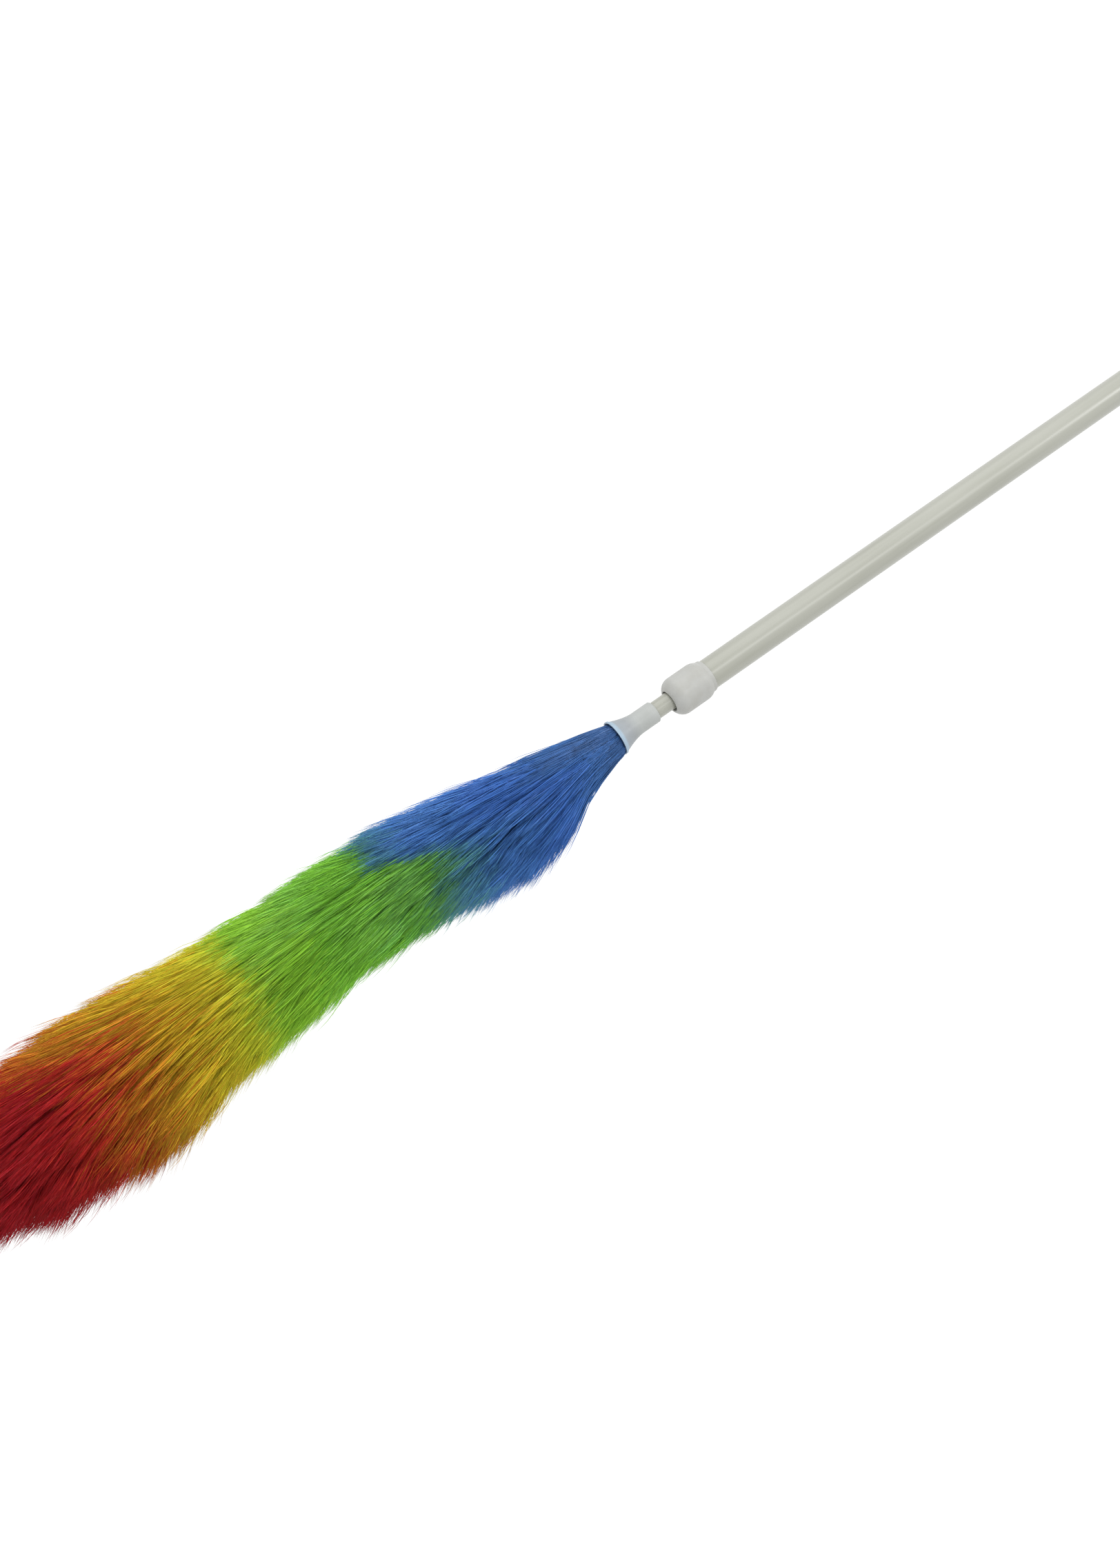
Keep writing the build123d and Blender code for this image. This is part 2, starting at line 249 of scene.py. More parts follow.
def rounded(half_width):
    """A half width at every millimetre, with the outline's corners rounded."""
    sharp = np.interp(EVERY_MM, OUTLINE_PLACES, half_width)
    end = ROUNDED_OVER // 2
    padded = np.concatenate([np.full(end, sharp[0]), sharp, np.full(end, sharp[-1])])
    return np.convolve(padded, np.ones(ROUNDED_OVER) / ROUNDED_OVER, "valid")


MEAN_HALF = rounded((MINUS_X_HALF + PLUS_X_HALF) / 2)
SIDE_SHIFT = rounded((PLUS_X_HALF - MINUS_X_HALF) / 2)


def head_radius(below):
    return np.interp(below, EVERY_MM, MEAN_HALF)


def head_shift(below):
    """How far the head's middle lies towards +X at this distance."""
    return np.interp(below, EVERY_MM, SIDE_SHIFT)


def smooth_step(value, low, high):
    t = np.clip((value - low) / (high - low), 0, 1)
    return t * t * (3 - 2 * t)


def hill(value, middle, width):
    """1 at the middle, and falling to both sides."""
    return np.exp(-(((value - middle) / width) ** 2))


# ---------------------------------------------------------------- dyes

# Dyes down the front of the head: distance below the collar and the colour as it looks there
DYES = (
    (60, 65, 98, 148),
    (90, 62, 101, 157),
    (120, 53, 90, 150),
    (170, 52, 88, 137),
    (196, 57, 97, 124),
    (206, 62, 106, 106),
    (216, 66, 110, 72),
    (240, 78, 128, 50),
    (290, 94, 144, 45),
    (330, 108, 151, 44),
    (344, 122, 156, 46),
    (352, 140, 158, 43),
    (362, 154, 157, 39),
    (378, 159, 150, 37),
    (400, 160, 138, 33),
    (420, 155, 116, 29),
    (440, 148, 90, 26),
    (454, 144, 62, 25),
    (470, 138, 38, 25),
    (492, 130, 25, 27),
    (560, 124, 22, 29),
)
DYE_PLACES = np.array([row[0] for row in DYES], float)
DYE_LIMITS = (DYE_PLACES[1:] + DYE_PLACES[:-1]) / 2
# lighter and darker copies of each dye: random tone from tuft to tuft, and also the painted light and shade
# of the roots, tips and sides
SHADES = (0.42, 0.64, 0.88, 1.12, 1.36)
MEAN_SHADE = 0.9
MIDDLE_LEVEL = 2  # the shade in the middle of SHADES
# The lightest shades also have white mixed in, most of all in the blue and green: a painted sheen on lit
# fibre, and a paler look on the lighter tufts
PALER_PLACES = (190, 230, 345, 390)
PALER = (0.02, 0.04, 0.035, 0.004)
# Fibres shade each other, more so where they stand apart: the pigment is this much stronger than it looks
STRENGTH_PLACES = (75, 90, 116, 148, 180, 240, 300, 345, 400, 425, 445, 475)
STRENGTH = (0.95, 1.16, 1.65, 2.1, 2.3, 2.15, 2.02, 1.95, 2.02, 2.05, 2.15, 2.05)
# How far the shades lie apart
CONTRAST_PLACES = (190, 215, 325, 350, 390, 420)
CONTRAST = (0.3, 0.22, 0.22, 0.36, 0.75, 1.0)


def fibre_materials():
    """One material for each shade of each dye. Faces pick among them, so each fibre has its own dyes."""
    made = []
    for place, *colour in DYES:
        strength = np.interp(place, STRENGTH_PLACES, STRENGTH)
        contrast = np.interp(place, CONTRAST_PLACES, CONTRAST)
        for level, shade in enumerate(SHADES):
            material, tree, shader = new_material(f"fibre_{place}_{level}")
            gain = strength * (1 + contrast * (shade - MEAN_SHADE))
            *dyed, alpha = linear(*colour, gain)
            pale = np.interp(place, PALER_PLACES, PALER) * max(level - MIDDLE_LEVEL, 0)
            shader.inputs["Base Color"].default_value = (*(min(c + pale, 1) for c in dyed), alpha)
            shader.inputs["Roughness"].default_value = 0.5
            # combed synthetic fibre glints in patches
            gloss = noise(tree, object_space(tree, stretch=(1.0, 1.0, 0.12)), scale=500.0, detail=2.0)
            glint = span(tree, gloss, 0.0, 0.22, start=0.4, end=0.75)
            tree.links.new(glint, shader.inputs["Specular IOR Level"])
            made.append(material)
    return made


PLUS_X_EASE = 1.2


def change_at(angle, minus_x, plus_x, front, back, reached):
    """Where a colour change lies, by the angle round the head.

    It is nearer to the collar in front than at the sides. Towards -X it goes from the front's place
    to the side's place between the two shares of the width that reached gives.
    """
    across = np.cos(angle)
    middle = np.where(np.sin(angle) < 0, front, back)
    left = smooth_step(-across, *reached)
    right = np.clip(across, 0, 1) ** PLUS_X_EASE
    return middle + (minus_x - middle) * left + (plus_x - middle) * right


CRISP_TO_SOFT = (-0.45, 0.1)  # the first two changes are crisp towards -X and soft from here on
BLUE_BLUR = 3  # how far the end of the blue wanders from fibre to fibre
GREEN_BLUR = 3
RED_BLUR = 10
RED_TONGUE = 10  # the red comes this much nearer to the collar in a tongue towards -X
RED_TONGUE_PLACE = -0.45
RED_TONGUE_WIDTH = 0.22


def dye_place(along, angle, blur):
    """The place in front of the head that has the dye found at this distance and angle."""
    soft = smooth_step(np.cos(angle), *CRISP_TO_SOFT)
    blue_end = change_at(angle, minus_x=252, plus_x=228, front=207, back=214, reached=(0.1, 0.48))
    blue_end = blue_end + blur * (BLUE_BLUR + BLUE_BLUR * soft)
    green_end = change_at(angle, minus_x=354, plus_x=360, front=346, back=358, reached=(0.0, 1.0))
    green_end = green_end + blur * GREEN_BLUR
    red_start = change_at(angle, minus_x=492, plus_x=466, front=447, back=455, reached=(0.5, 1.0))
    red_start = red_start + blur * RED_BLUR
    red_start -= RED_TONGUE * hill(np.cos(angle), RED_TONGUE_PLACE, RED_TONGUE_WIDTH)
    # a distance on this line of the head, and the place in DYES that looks like it
    matches = (
        (blue_end - 13 - 3 * soft, 188 + 6 * soft),
        (blue_end - 1, 209),
        (blue_end + 4 + 16 * soft, 262 - 20 * soft),
        (green_end - 7 - 7 * soft, 335),
        (green_end + 7 + 7 * soft, 364),
        (red_start, 446),
        (red_start + 15, 470),
    )
    place = along.copy()
    start = np.zeros_like(along)
    reference = 0.0
    for change, wanted in matches:
        step = (along - start) / (change - start)
        place = np.where(along >= start, reference + step * (wanted - reference), place)
        start = change
        reference = wanted
    return np.where(along >= start, reference + (along - start), place)


# ---------------------------------------------------------------- locks of fibre

# A lock is a few tufts that end together, and a tuft is a few fibres
TUFT = 3
TUFTS_PER_LOCK = 6
PER_LOCK = TUFT * TUFTS_PER_LOCK
FIBRE_LENGTH = (84.0, 116.0)

PLACES_WEIGHED = 200
LEAST_WEIGHT = 4
END_WEIGHT = 26  # more locks end round the wire's end, to hide it
END_FILLED = (578, 600)
MIDDLE_FILLED = (585, 612)  # from here on the locks end in the middle of the head too

HIGHEST_REACH = 0.98  # a lock's tip lies at this share of the head's radius, or stands a little higher
REACH_POWER = 0.8
TUFTED = 0.045  # the surface swells and sinks by this share from lock to lock
CALM = (215, 365)  # the green is evenly combed, with soft broad patches
CALM_TUFTED = 0.4
STANDING_SHARE = 0.16
STANDING = 0.07
ROUGHER_SHARE = 0.3  # the side towards +X is less even
ROUGHER = 0.05
LYING_SHARE = 0.2  # these locks lie along the head, and the others stand out nearly straight
LYING = (0.4, 0.8)
NOT_LYING = (0, 0.2)

MEAN_LEVEL = 2.1  # of the shades
LEVEL_SPREAD = 0.26
PATCH = 0.15
CALM_PATCH = 1.6
LONG_WAVE = 31
MIDDLE_WAVE = 17
SHORT_WAVE = 13
SWELL_WAVE = 4
SWELL_BEND = 1.7
DRIFT = 1.5  # millimetres that a lock drifts round the head
FAN = (2.5, 5.5)  # how far apart the tufts of a lock start


def patches(tip, angle, calm):
    """Broad patches of lighter and deeper locks."""
    patch = PATCH * np.sin(tip / LONG_WAVE + 2 * angle + 1.3)
    patch = patch + PATCH * np.sin(tip / MIDDLE_WAVE - 3 * angle)
    return patch * (1 + CALM_PATCH * calm)


# Levels of shade taken off by side: painted shade towards +X, the side turned away from the key light, and
# painted light towards -X; the head is also darker in the places given below
LOWER_HEAD = 350  # from here on the darkening lies differently
PLUS_X_SHADE_ABOVE = 0.25  # painted shade towards +X, painted light towards -X
DARKER_SIDES = 0.5  # at both sides of the lower head
SIDES_EASE = 1.5
PLUS_X_SHADE_LOWER = 0.9  # painted shade towards +X, on the lower head
DARKER_BLUE = 0.9
BLUE_HEAD = 230  # down to here the blue is darkest about half way to its +X edge
DARKER_BLUE_ACROSS = (0.45, 0.35)


def darker_by_side(tip, across):
    """Levels of shade taken off at this place and this share of the width towards +X. The part that grows
    towards +X is painted shade, and above the lower head it turns to painted light towards -X.
    """
    side_shade = np.where(tip < LOWER_HEAD, PLUS_X_SHADE_ABOVE * across, DARKER_SIDES * np.abs(across) ** SIDES_EASE)
    side_shade += PLUS_X_SHADE_LOWER * (tip > LOWER_HEAD) * np.clip(across, 0, 1)
    side_shade += DARKER_BLUE * (tip < BLUE_HEAD) * hill(across, *DARKER_BLUE_ACROSS)
    return side_shade


def scatter_locks(rng, count, low, high, lowest_reach):
    """Where locks of fibre end on the head, and how each one lies."""
    places = np.linspace(low, high, PLACES_WEIGHED)
    # a wide place takes more locks
    weight = np.cumsum(head_radius(places) + LEAST_WEIGHT + END_WEIGHT * smooth_step(places, *END_FILLED))
    tip = np.interp(rng.random(count), weight / weight[-1], places)
    angle = rng.uniform(-math.pi, math.pi, count)
    across = np.cos(angle)
    calm = (tip > CALM[0]) & (tip < CALM[1])
    lying = rng.random(count) < LYING_SHARE
    rough = np.clip(across, 0, 1)
    standing = rng.random(count) < STANDING_SHARE + ROUGHER_SHARE * rough
    higher = standing * rng.uniform(0.0, STANDING + ROUGHER * rough)
    swell = np.sin(tip / SWELL_WAVE + SWELL_BEND * np.sin(tip / SHORT_WAVE) + 3 * angle)
    higher += TUFTED * (1 - (1 - CALM_TUFTED) * calm) * swell
    higher -= rng.random(count) * smooth_step(tip, *MIDDLE_FILLED)
    reach = lowest_reach + (HIGHEST_REACH - lowest_reach) * rng.random(count) ** REACH_POWER + higher
    long = rng.uniform(*FIBRE_LENGTH, count)
    flat = np.where(lying, rng.uniform(*LYING, count), rng.uniform(*NOT_LYING, count))
    blur = rng.normal(0, 1, count)
    drift = rng.normal(0, DRIFT, count)
    level = rng.normal(MEAN_LEVEL, LEVEL_SPREAD, count)
    # broad patches of tone, then painted shade taken off towards +X and painted light added towards -X
    shade = level + patches(tip, angle, calm) - darker_by_side(tip, across)
    fan = rng.uniform(*FAN, count)
    return SimpleNamespace(
        tip=tip,
        angle=angle,
        reach=reach,
        long=long,
        flat=flat,
        blur=blur,
        drift=drift,
        shade=shade,
        calm=calm,
        fan=fan,
    )


# Shares of a fibre's length where its line bends and its dye may change
SHARE = np.array([0.0, 0.34, 0.56, 0.73, 0.87, 1.0])
ROOT_SHARE = 0.34
FUZZ = 0.15  # a few fibres stand this share out of the rest
FUZZ_POWER = 2.5
FUZZ_FREE = (8, 35)  # the ferrule holds the fuzz down over this distance
STRAY_SHARE = 0.08  # of the fibres, which are a little longer and stand out
STRAY_LONGER = 6
STRAY_HIGHER = 0.09
TIPS_APART = 0.22  # the tufts of a lock end within this share of their length
TIPS_APART_POWER = 1.4
TIP_JITTER = 3  # millimetres from fibre to fibre
ROOTS_APART = 9
ROOT_JITTER = 2.5
LEAST_TIP = 24  # no fibre ends nearer to the ferrule's mouth
LEAST_LENGTH = 20
LYING_BEND = 2.2
OUT_JITTER = 0.012
SIDE_JITTER = 0.25
FAN_TURN = 0.2
FAN_JITTER = 0.5
LEAST_FAN = 0.25
ROOM = (0.86, 0.97)  # on its way to the tip a fibre may bulge to this share of the head's radius
# The head was combed over from -X: its fibres spread from a line that leaves the wire by this much
PARTING_PLACES = (60, 150, 270, 430, 490, 565)
PARTING = (0, -4, -10, -20, -18, 0)


def comb(rng, locks, gather):
    """Lines of the fibres in these locks, with the number of each fibre's lock and tuft."""
    count = len(locks.tip)
    tufts = count * TUFTS_PER_LOCK
    n = count * PER_LOCK
    lock = np.repeat(np.arange(count), PER_LOCK)
    tuft = np.repeat(np.arange(tufts), TUFT)
    share = SHARE[None, :]
    past_root = np.clip(share / ROOT_SHARE, 0, 1)
    long = locks.long[lock]
    reach = locks.reach[lock]
    angle = locks.angle[lock]

    # from where to where
    short = long * TIPS_APART * rng.random(tufts)[tuft] ** TIPS_APART_POWER
    tip = locks.tip[lock] - short - rng.uniform(0, TIP_JITTER, n)
    stray = rng.random(n) < STRAY_SHARE
    tip = np.maximum(tip + stray * rng.uniform(0, STRAY_LONGER, n), HEAD_START + LEAST_TIP)
    true_start = locks.tip[lock] - long + rng.uniform(-ROOTS_APART, ROOTS_APART, tufts)[tuft]
    start = np.minimum(np.maximum(true_start, HEAD_START + rng.random(n) * ROOT_JITTER), tip - LEAST_LENGTH)
    below = start[:, None] + (tip - start)[:, None] * share

    # a straight line out from the parting, in part bent to lie along the head
    rise = (below - true_start[:, None]) / (tip - true_start)[:, None]
    flat = locks.flat[lock][:, None]
    rise = (1 - flat) * rise + flat * (1 - np.clip(1 - rise, 0, None) ** LYING_BEND)
    fuzz = 1 + FUZZ * rng.random(n) ** FUZZ_POWER + stray * rng.uniform(0, STRAY_HIGHER, n)
    out = reach * head_radius(tip) * rng.normal(1, OUT_JITTER, n) * fuzz
    tip_x = head_shift(tip) + np.cos(angle) * out
    tip_y = np.sin(angle) * out
    parting = np.interp(locks.tip[lock] - long * 0.5, PARTING_PLACES, PARTING)
    x = parting[:, None] * past_root + (tip_x - parting)[:, None] * rise
    y = tip_y[:, None] * rise

    # tufts side by side at the root come together at the tip
    fan_angle = rng.uniform(-math.pi, math.pi, tufts)[tuft] + rng.normal(0, FAN_TURN, n)
    apart = locks.fan[lock] * np.sqrt(rng.random(tufts))[tuft]
    fan = (apart + rng.uniform(-FAN_JITTER, FAN_JITTER, n))[:, None]
    fan = fan * past_root * (1 - gather * share) + LEAST_FAN
    x += np.cos(fan_angle)[:, None] * fan - np.sin(angle)[:, None] * locks.drift[lock][:, None] * share
    y += np.sin(fan_angle)[:, None] * fan + np.cos(angle)[:, None] * locks.drift[lock][:, None] * share
    x += rng.normal(0, SIDE_JITTER, (n, len(SHARE))) * share

    # no fibre bulges out of the head on its way, and near the ferrule's mouth none stands out
    shift = head_shift(below)
    room = head_radius(below) * np.maximum(reach, rng.uniform(*ROOM, n))[:, None]
    room *= 1 + (fuzz - 1)[:, None] * smooth_step(below - HEAD_START, *FUZZ_FREE)
    over = np.maximum(np.hypot(x - shift, y) / room, 1)
    line = np.stack([shift + (x - shift) / over, y / over, below], -1)
    return line, lock, tuft


LOCK_BLUR = 0.6  # a colour change is blurred from lock to lock, and from fibre to fibre
FIBRE_BLUR = 0.8
DYE_MIX = 0.6  # how far neighbouring dyes run into each other along the head
EARLY_SHARE = 0.18  # of the tufts, which take the red dyes early and so streak the yellow
EARLY = (8, 50)
EARLY_FROM = 374
LATE_SHARE = 0.12  # of the tufts on the -X side, which stay orange
LATE = (25, 50)
LATE_SPAN = (462, 505)
LATE_SIDE = 12
TUFT_TONE = 0.5  # levels of shade from tuft to tuft, and from fibre to fibre
FIBRE_TONE = 0.25
DARK_SHARE = 0.04  # of the tufts, and how many levels darker they are: partly darker fibre, partly painted shade for the gaps between locks
DARK = -1.9
LIGHT_SHARE = 0.025  # of the tufts, and how many levels lighter they are
LIGHT = 1.5
CALM_TONE = 0.45  # the share of a tuft's tone that is left in the green
BLUE_TONE = 0.75  # and in the blue
# painted shade on the roots, deep inside the head, and painted light on the tips, in levels of shade
ROOT_PAINTED_SHADE = 0.8
ROOT_END = 0.3
TIP_PAINTED_LIGHT = 0.25
TIP_START = 0.8


def dye_fibres(rng, locks, line, lock, tuft):
    """The dye and the shade of each stretch of these fibres, by number."""
    n = len(line)
    tufts = len(locks.tip) * TUFTS_PER_LOCK
    x, y, below = line[..., 0], line[..., 1], line[..., 2]
    shift = head_shift(below)
    blur = locks.blur[lock] * LOCK_BLUR + rng.normal(0, FIBRE_BLUR, n)
    middle = below.copy()
    middle[:, :-1] = (below[:, 1:] + below[:, :-1]) / 2
    place = dye_place(middle, np.arctan2(y, x - shift), blur[:, None])
    mix = DYE_MIX * np.interp(place, DYE_LIMITS, np.diff(DYE_PLACES) / 2)
    place += rng.uniform(-1, 1, n)[:, None] * mix
    early = ((rng.random(tufts) < EARLY_SHARE) * rng.uniform(*EARLY, tufts))[tuft][:, None]
    place += early * (place > EARLY_FROM)
    late = ((rng.random(tufts) < LATE_SHARE) * rng.uniform(*LATE, tufts))[tuft][:, None]
    place -= late * ((place > LATE_SPAN[0]) & (place < LATE_SPAN[1]) & (x < shift - LATE_SIDE))
    dye = np.searchsorted(DYE_LIMITS, place)

    tone = rng.normal(0, TUFT_TONE, tufts)
    odd = rng.random(tufts)
    tone = np.where(odd > 1 - LIGHT_SHARE, LIGHT, tone)
    tone = np.where(odd < DARK_SHARE, DARK, tone)[tuft]
    tone *= np.where(locks.calm[lock], CALM_TONE, np.where(locks.tip[lock] < CALM[0], BLUE_TONE, 1))
    shade = (locks.shade[lock] + tone + rng.normal(0, FIBRE_TONE, n))[:, None]
    # painted shade at the roots and painted light at the tips
    shade = shade - ROOT_PAINTED_SHADE * (SHARE < ROOT_END) + TIP_PAINTED_LIGHT * (SHARE > TIP_START)
    shade = np.clip(np.rint(shade), 0, len(SHADES) - 1).astype(int)
    return dye, shade


# ---------------------------------------------------------------- fibre meshes

SIDES = 3  # of a fibre's cross-section
RINGS = len(SHARE) - 1
FIBRE_VERTICES = RINGS * SIDES + 1


def unit(vectors):
    return vectors / (np.linalg.norm(vectors, axis=-1, keepdims=True) + 1e-9)


def fibre_vertices(line, width):
    """Rings of vertices along tapering fibres, and a point at each tip, in the model's frame."""
    step = np.diff(line, axis=1)
    step = unit(np.concatenate([step, step[:, -1:]], 1))
    outward = line.copy()
    outward[..., 2] = 0
    outward[..., 0] -= head_shift(line[..., 2])
    across = unit(np.cross(step, unit(outward)))
    up = np.cross(across, step)
    corners = []
    for side in range(SIDES):
        a = math.pi / 2 + side * 2 * math.pi / SIDES
        corners.append(line + (across * math.cos(a) + up * math.sin(a)) * width[..., None] / 2)
    rings = np.stack(corners, 2)[:, :RINGS].reshape(len(line), RINGS * SIDES, 3)
    vertices = np.concatenate([rings, line[:, -1:]], 1).reshape(-1, 3)
    vertices[:, 0] += INNER_X
    vertices[:, 2] = COLLAR_LEVEL - vertices[:, 2]
    return vertices


def fibre_faces():
    """Faces of one fibre by its own vertex numbers, and the stretch of it that each face lies on."""
    quads = []
    for ring in range(RINGS - 1):
        for side in range(SIDES):
            a = ring * SIDES + side
            b = ring * SIDES + (side + 1) % SIDES
            quads.append((a, a + SIDES, b + SIDES, b))
    last = (RINGS - 1) * SIDES
    point = RINGS * SIDES
    triangles = [(last + side, point, last + (side + 1) % SIDES) for side in range(SIDES)]
    triangles.append(tuple(range(SIDES)))
    quad_stretch = np.repeat(np.arange(RINGS - 1), SIDES)
    triangle_stretch = [RINGS - 1] * SIDES + [0]
    return np.array(quads), quad_stretch, np.array(triangles), triangle_stretch


def mesh_from(name, line, width, slots, materials):
    """Closed three-sided fibres that taper to a point, with a material for each stretch."""
    vertices = fibre_vertices(line, width)
    quads, quad_stretch, triangles, triangle_stretch = fibre_faces()
    n = len(line)
    base = (np.arange(n) * FIBRE_VERTICES)[:, None]
    quad_loops = (base + quads.reshape(1, -1)).reshape(-1)
    triangle_loops = (base + triangles.reshape(1, -1)).reshape(-1)
    loops = np.concatenate([quad_loops, triangle_loops])
    counts = np.concatenate([np.full(n * len(quads), 4), np.full(n * len(triangles), 3)])
    starts = np.concatenate([[0], np.cumsum(counts)[:-1]])
    quad_slots = slots[:, quad_stretch].reshape(-1)
    triangle_slots = slots[:, triangle_stretch].reshape(-1)
    used, face_slots = np.unique(np.concatenate([quad_slots, triangle_slots]), return_inverse=True)

    mesh = bpy.data.meshes.new(name)
    mesh.vertices.add(len(vertices))
    mesh.vertices.foreach_set("co", (vertices * MM).astype(np.float32).reshape(-1))
    mesh.loops.add(len(loops))
    mesh.loops.foreach_set("vertex_index", loops.astype(np.int32))
    mesh.polygons.add(len(counts))
    mesh.polygons.foreach_set("loop_start", starts.astype(np.int32))
    mesh.polygons.foreach_set("loop_total", counts.astype(np.int32))
    for number in used:
        mesh.materials.append(materials[number])
    mesh.polygons.foreach_set("material_index", face_slots.reshape(-1).astype(np.int32))
    mesh.polygons.foreach_set("use_smooth", np.ones(len(counts), bool))
    mesh.update(calc_edges=True)
    piece = bpy.data.objects.new(name, mesh)
    scene.collection.objects.link(piece)
    return piece


# tips is the span where the locks end, own the span of dyes that the tips show, and gather how much a
# lock comes to a point
FIBRES = (
    SimpleNamespace(
        colour="blue",
        seed=11,
        pieces=3,
        tips=(96.0, 264.0),
        own=(0, 200),
        lowest_reach=0.83,
        gather=0.75,
        width=0.62,
    ),
    SimpleNamespace(
        colour="green",
        seed=23,
        pieces=4,
        tips=(188.0, 380.0),
        own=(200, 348),
        lowest_reach=0.91,
        gather=0.45,
        width=0.7,
    ),
    SimpleNamespace(
        colour="yellow",
        seed=37,
        pieces=4,
        tips=(330.0, 490.0),
        own=(348, 430),
        lowest_reach=0.84,
        gather=0.75,
        width=0.62,
    ),
    SimpleNamespace(
        colour="red",
        seed=53,
        pieces=5,
        tips=(410.0, 621.0),
        own=(430, 700),
        lowest_reach=0.8,
        gather=0.8,
        width=0.62,
    ),
)
STRANDS_PER_PIECE = 6900
LOCKS_AT_ONCE = 1500
THINNER_TO_THICKER = (0.7, 1.25)
TAPER = 0.75
TAPER_POWER = 3


def strands_of(kind, rng, wanted):
    """Lines and material numbers of as many fibres of this colour as wanted."""
    lines = []
    slots = []
    got = 0
    while got < wanted:
        locks = scatter_locks(rng, LOCKS_AT_ONCE, *kind.tips, kind.lowest_reach)
        line, lock, tuft = comb(rng, locks, kind.gather)
        dye, shade = dye_fibres(rng, locks, line, lock, tuft)
        # a lock belongs to the colour that its first fibre's tip shows
        shown = DYE_PLACES[dye[::PER_LOCK, -1]]
        mine = np.repeat((shown >= kind.own[0]) & (shown < kind.own[1]), PER_LOCK)
        lines.append(line[mine])
        slots.append((dye * len(SHADES) + shade)[mine])
        got += int(mine.sum())
    order = rng.permutation(wanted)
    return np.concatenate(lines)[:wanted][order], np.concatenate(slots)[:wanted][order]


def make_fibres():
    materials = fibre_materials()
    for kind in FIBRES:
        rng = np.random.default_rng(kind.seed)
        wanted = kind.pieces * STRANDS_PER_PIECE
        line, slot = strands_of(kind, rng, wanted)
        width = kind.width * rng.uniform(*THINNER_TO_THICKER, wanted)[:, None]
        width = width * (1 - TAPER * SHARE[None, :] ** TAPER_POWER)
        for i in range(kind.pieces):
            pick = slice(i * STRANDS_PER_PIECE, (i + 1) * STRANDS_PER_PIECE)
            name = f"{kind.colour}_fibre_strands_{i + 1}"
            piece = mesh_from(name, line[pick], width[pick], slot[pick], materials)
            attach(piece, "inner_pole")
            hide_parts(f"{kind.colour}_fibres")


# ---------------------------------------------------------------- fittings

# Towards the ferrule's mouth the colour is multiplied darker on the flare, painted shade where it faces away
# from the light, and bluish at the lip, partly the fibres showing through thin plastic and partly painted
# blue light thrown back from them
FERRULE_TINT_AND_SHADE = (
    (0.0, (0.91, 0.83, 0.66, 1)),
    (0.45, (0.87, 0.8, 0.64, 1)),
    (0.7, (0.66, 0.62, 0.53, 1)),
    (0.89, (0.66, 0.64, 0.57, 1)),
    (0.94, (0.76, 0.88, 0.88, 1)),
    (1.0, (0.76, 0.88, 0.9, 1)),
)


def tint_and_shade_towards_mouth(material, node):
    """Multiplies the material's colour by the tints and painted shade above, from the node's top to its
    mouth.
    """
    tree = material.node_tree
    shader = tree.nodes["Principled BSDF"]
    heights = [v.co.z for v in node.data.vertices]
    place = add_node(tree, "ShaderNodeTexCoord")
    split = add_node(tree, "ShaderNodeSeparateXYZ")
    tree.links.new(place.outputs["Object"], split.inputs[0])
    depth = span(tree, split.outputs["Z"], 1.0, 0.0, min(heights), max(heights))
    mouth_tint_and_shade = ramp(tree, depth, FERRULE_TINT_AND_SHADE)
    mix = add_node(tree, "ShaderNodeMix", data_type="RGBA", blend_type="MULTIPLY")
    mix.inputs["Factor"].default_value = 1.0
    base = shader.inputs["Base Color"].links[0].from_socket
    tree.links.new(base, mix.inputs["A"])
    tree.links.new(mouth_tint_and_shade, mix.inputs["B"])
    tree.links.new(mix.outputs["Result"], shader.inputs["Base Color"])


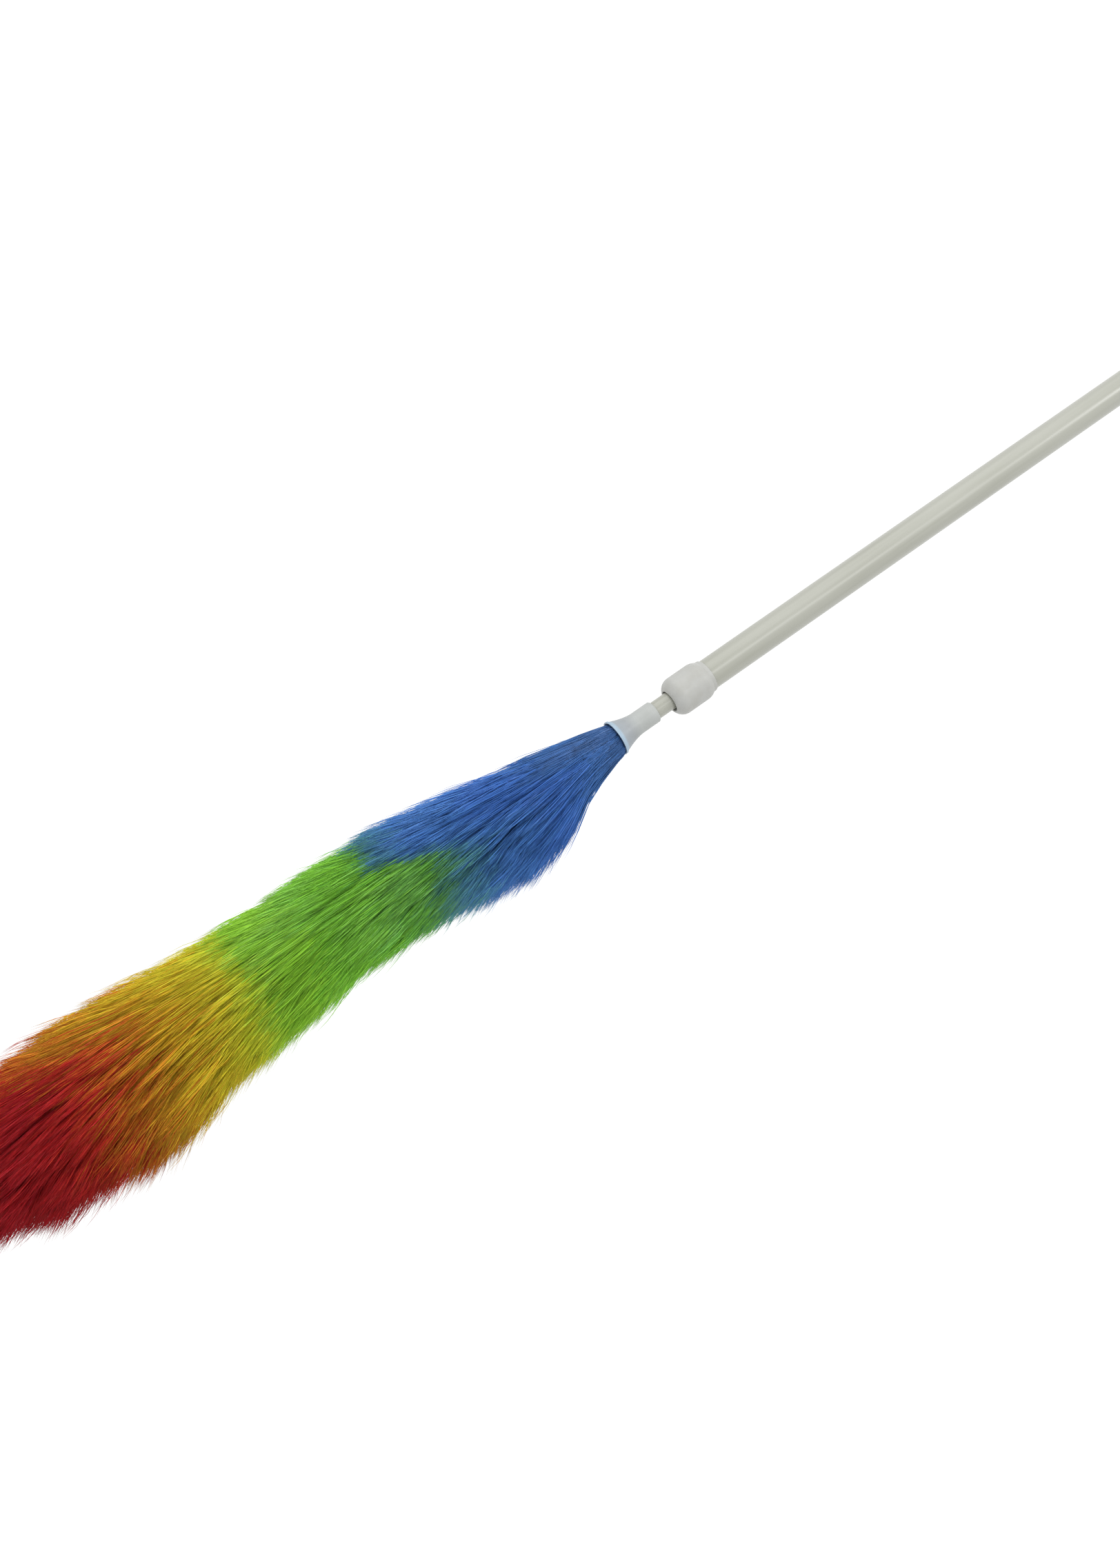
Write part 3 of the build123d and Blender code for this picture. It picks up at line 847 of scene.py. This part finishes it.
def finish_fittings():
    white = moulded_plastic("white_plastic", linear(165, 166, 163), linear(156, 156, 151), rough=0.42)
    ferrule = moulded_plastic("ferrule_plastic", linear(170, 180, 197), linear(162, 172, 187), rough=0.42)
    tint_and_shade_towards_mouth(ferrule, nodes["ferrule"])
    paint = cream_paint("cream_paint", linear(149, 150, 140), linear(141, 142, 131))
    grip = moulded_plastic(
        "grip_plastic", linear(152, 153, 148), linear(142, 143, 137), rough=0.55, grain=500.0
    )
    dark = moulded_plastic("lock_plastic", linear(46, 46, 48), linear(34, 34, 36), rough=0.5)
    steel = drawn_steel("steel", linear(196, 196, 194), linear(150, 150, 148))
    chosen = {
        "outer_tube": paint,
        "inner_tube": paint,
        "guide_collar": white,
        "end_cap": white,
        "ferrule": ferrule,
        "hand_grip": grip,
        "cam_ring": dark,
        "lock_spindle": dark,
        "retaining_disc": dark,
        "wire_plug": dark,
        "tip_cap": dark,
        "cap_pin": steel,
        "spindle_pin": steel,
        "plug_pin": steel,
        "retaining_screw": steel,
        "core_wire": steel,
    }
    for name, material in chosen.items():
        for slot in nodes[name].material_slots:
            slot.material = material


# ---------------------------------------------------------------- floor and light

FLOOR_LEVEL = -2.02
FLOOR_HALF = 30.0


def make_floor():
    mesh = bpy.data.meshes.new("floor")
    corners = [(-1, -1), (1, -1), (1, 1), (-1, 1)]
    mesh.from_pydata([(x * FLOOR_HALF, y * FLOOR_HALF, FLOOR_LEVEL) for x, y in corners], [], [(0, 1, 2, 3)])
    floor = bpy.data.objects.new("floor", mesh)
    scene.collection.objects.link(floor)
    material, _, shader = new_material("floor")
    shader.inputs["Base Color"].default_value = (0.93, 0.93, 0.93, 1)
    shader.inputs["Roughness"].default_value = 0.9
    shader.inputs["Specular IOR Level"].default_value = 0.0
    mesh.materials.append(material)


def area_light(name, place, target, size, power):
    """A rectangular light whose second side lies along the pole."""
    data = bpy.data.lights.new(name, "AREA")
    data.shape = "RECTANGLE"
    data.size, data.size_y = size
    data.energy = power
    lamp = bpy.data.objects.new(name, data)
    back = (Vector(place) - Vector(target)).normalized()
    across = Vector((0, 0, 1)).cross(back).normalized()
    facing = Matrix((across, back.cross(across), back)).transposed()
    lamp.matrix_world = Matrix.Translation(place) @ facing.to_4x4()
    scene.collection.objects.link(lamp)


KEY_AIM_BELOW = 150


def make_light():
    world = bpy.data.worlds.new("studio")
    world.use_nodes = True
    back = world.node_tree.nodes["Background"]
    back.inputs["Color"].default_value = (1, 1, 1, 1)
    back.inputs["Strength"].default_value = 1.1
    scene.world = world
    aim = (0, 0, (COLLAR_LEVEL - KEY_AIM_BELOW) * MM)
    area_light("key", place=(-2.0, -1.6, 0.1), target=aim, size=(2.8, 2.8), power=32)
    # two streak lights give the painted tube its highlight
    area_light("far_streak", place=(0.16, -1.5, 1.2), target=(0, 0, 0.2), size=(0.3, 0.75), power=10)
    area_light("near_streak", place=(0.16, -1.5, 0.0), target=(0, 0, -0.4), size=(0.3, 0.4), power=3)
    scene.view_settings.view_transform = "Standard"
    scene.view_settings.look = "None"


make_camera()
finish_fittings()
make_fibres()
make_floor()
make_light()
